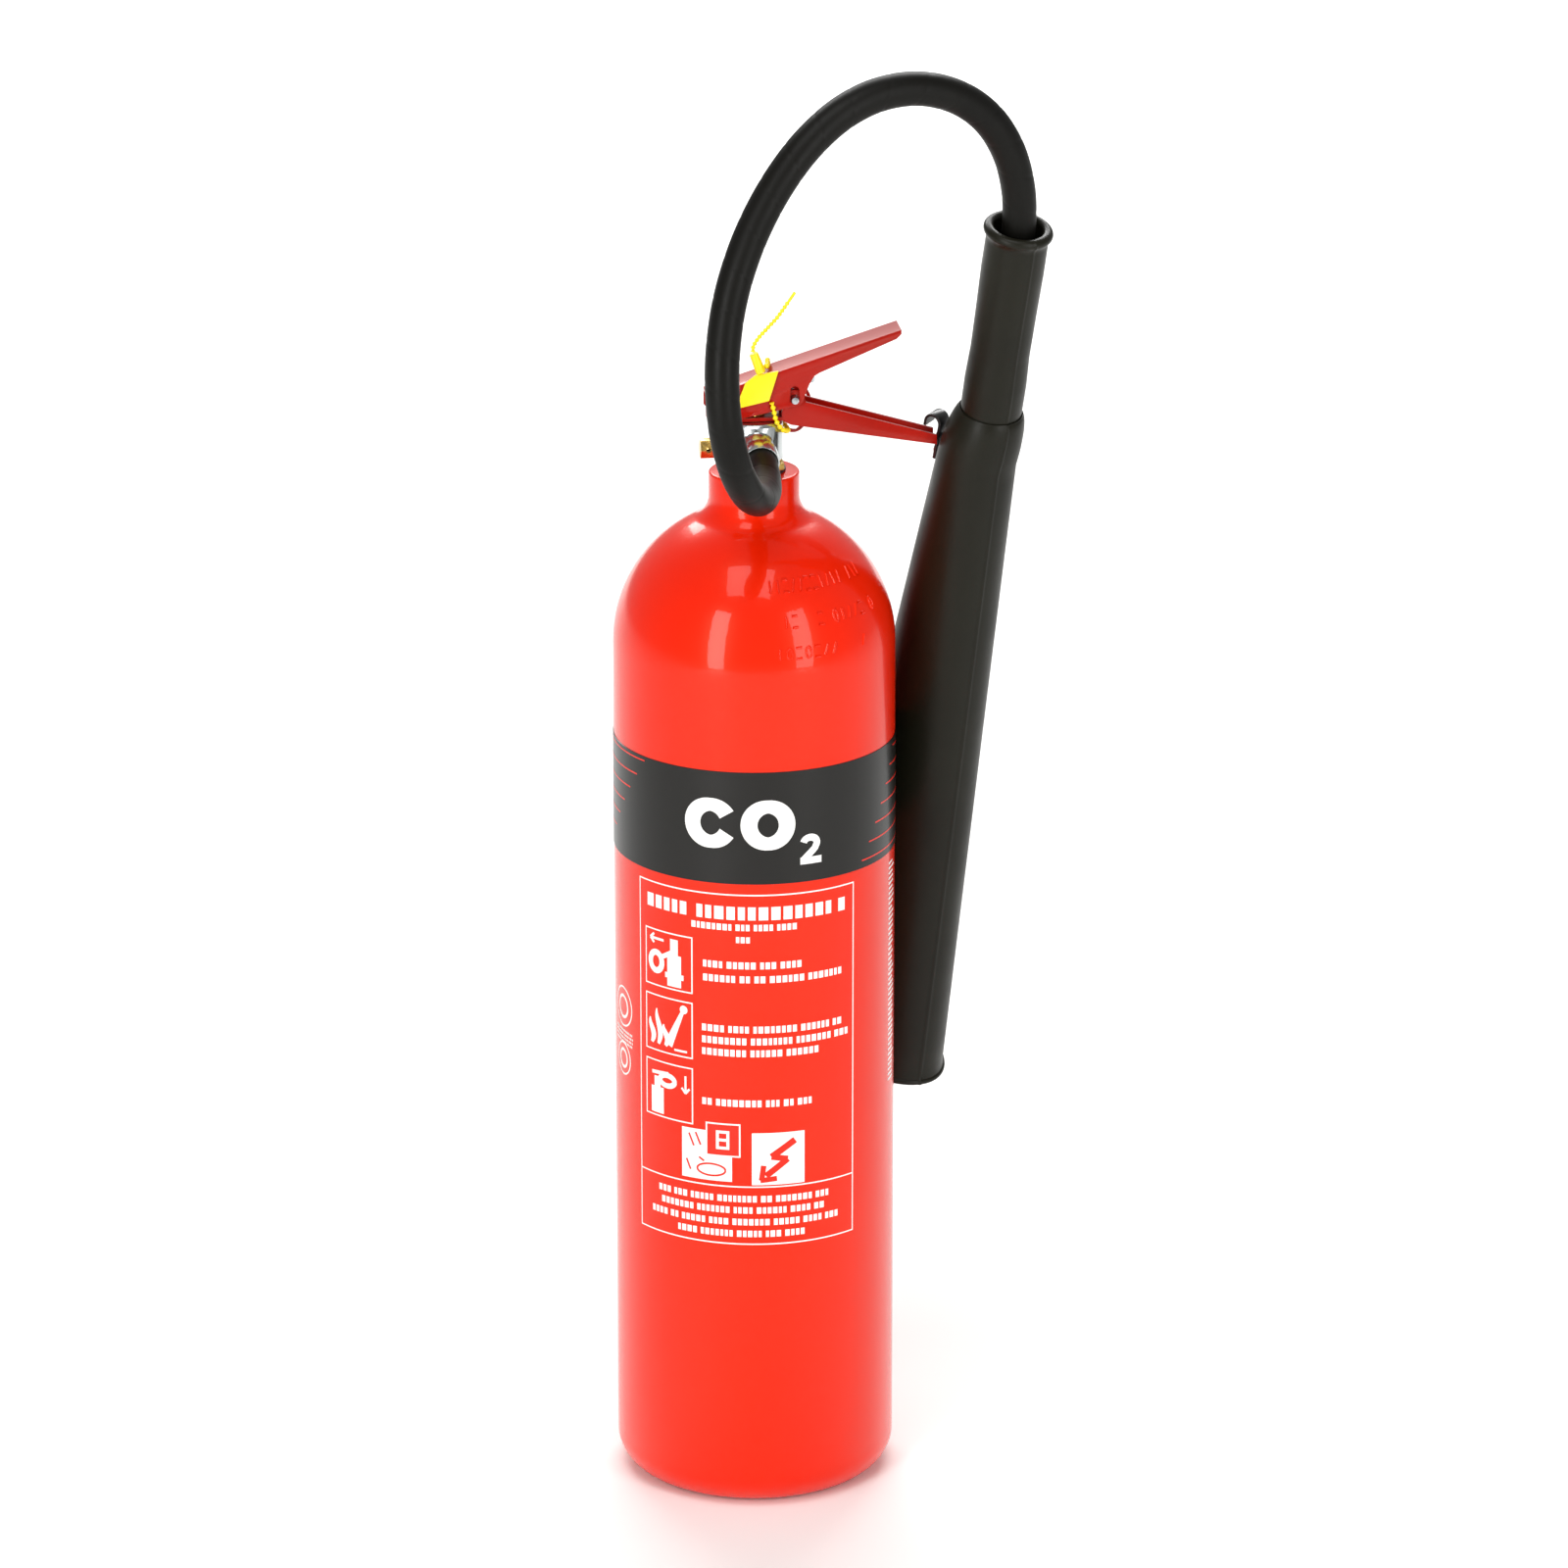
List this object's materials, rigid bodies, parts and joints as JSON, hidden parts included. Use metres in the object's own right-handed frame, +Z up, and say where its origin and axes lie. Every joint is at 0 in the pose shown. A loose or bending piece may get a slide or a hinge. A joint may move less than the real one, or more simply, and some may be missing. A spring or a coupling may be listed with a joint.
{
  "type": "carbon dioxide fire extinguisher",
  "caption": "Portable carbon dioxide fire extinguisher: red gas cylinder, squeeze-grip valve with safety pin, rubber hose and a tapered discharge horn.",
  "frame": {"origin": "centre of the cylinder's foot, on the floor", "axes": "+Z up the cylinder, +X along the levers, -Y the way the valve's outlet points"},
  "size_m": [0.2281, 0.2697, 0.8057],
  "materials": {
    "red_paint": "gloss enamel on aluminium",
    "lever_paint": "gloss powder coat on steel",
    "nickel": "satin nickel plate on brass",
    "brass": "machined brass",
    "steel": "bright plated steel",
    "aluminium": "drawn aluminium tube",
    "rubber": "matt black rubber",
    "hose_rubber": "wrap-cured black rubber",
    "black_plastic": "satin moulded plastic",
    "black_steel": "black painted spring steel",
    "yellow_plastic": "yellow moulded plastic",
    "white_film": "printed white film",
    "black_film": "printed black film",
    "copper": "copper foil disc",
    "nylon": "natural nylon"
  },
  "bodies": {
    "bottle": {"cylinder_shell": "red_paint", "label_band": "black_film", "label_panel": "white_film", "neck_washer": "rubber", "neck_collar": "brass", "valve_body": "nickel", "dip_tube": "aluminium", "burst_disc": "copper", "burst_plug": "brass", "seat_spring": "steel", "spindle_seal": "rubber", "gland_nut": "brass", "carry_handle": "lever_paint", "lever_pivot_pin": "steel", "seal_tag": "yellow_plastic", "seal_lock": "yellow_plastic", "seal_loop": "yellow_plastic", "seal_tail": "yellow_plastic", "hose_ferrule": "nickel", "hose": "hose_rubber"},
    "lever": {"operating_lever": "lever_paint", "lever_spacer": "steel"},
    "spindle": {"spindle": "steel", "seat_disc": "nylon"},
    "pin": {"safety_pin": "steel"},
    "ring": {"pin_ring": "lever_paint"},
    "horn": {"horn": "black_plastic", "horn_grip": "black_plastic", "discharge_nozzle": "brass", "horn_hook": "black_steel", "hook_rivet_1": "steel", "hook_rivet_2": "steel"}
  },
  "joints": [
    {"name": "lever_squeeze", "type": "hinge", "parent": "bottle", "child": "lever", "pos_m": [-0.019, 0, 0.6095], "axis": [0, 1, 0], "range_deg": [0, 6.5], "stiffness_Nm_per_rad": 3, "springref_deg": -8.59},
    {"name": "spindle_press", "type": "slide", "parent": "bottle", "child": "spindle", "axis": [0, 0, -1], "range_m": [0, 0.0022], "deforming": ["seat_spring"]},
    {"name": "pin_pull", "type": "slide", "parent": "bottle", "child": "pin", "axis": [0, 1, 0], "range_m": [0, 0.034]},
    {"name": "ring_swing", "type": "hinge", "parent": "pin", "child": "ring", "pos_m": [0.0253, 0.0208, 0.61], "axis": [0.7071, 0.7071, 0], "range_deg": [0, 25]},
    {"name": "horn_lift", "type": "slide", "parent": "bottle", "child": "horn", "axis": [0.1096, -0.2606, 0.9592], "range_m": [0, 0.02], "deforming": ["hose"]}
  ],
  "couplings": [
    {"joint": "spindle_press", "follows": "lever_squeeze", "m_per_rad": 0.019}
  ]
}
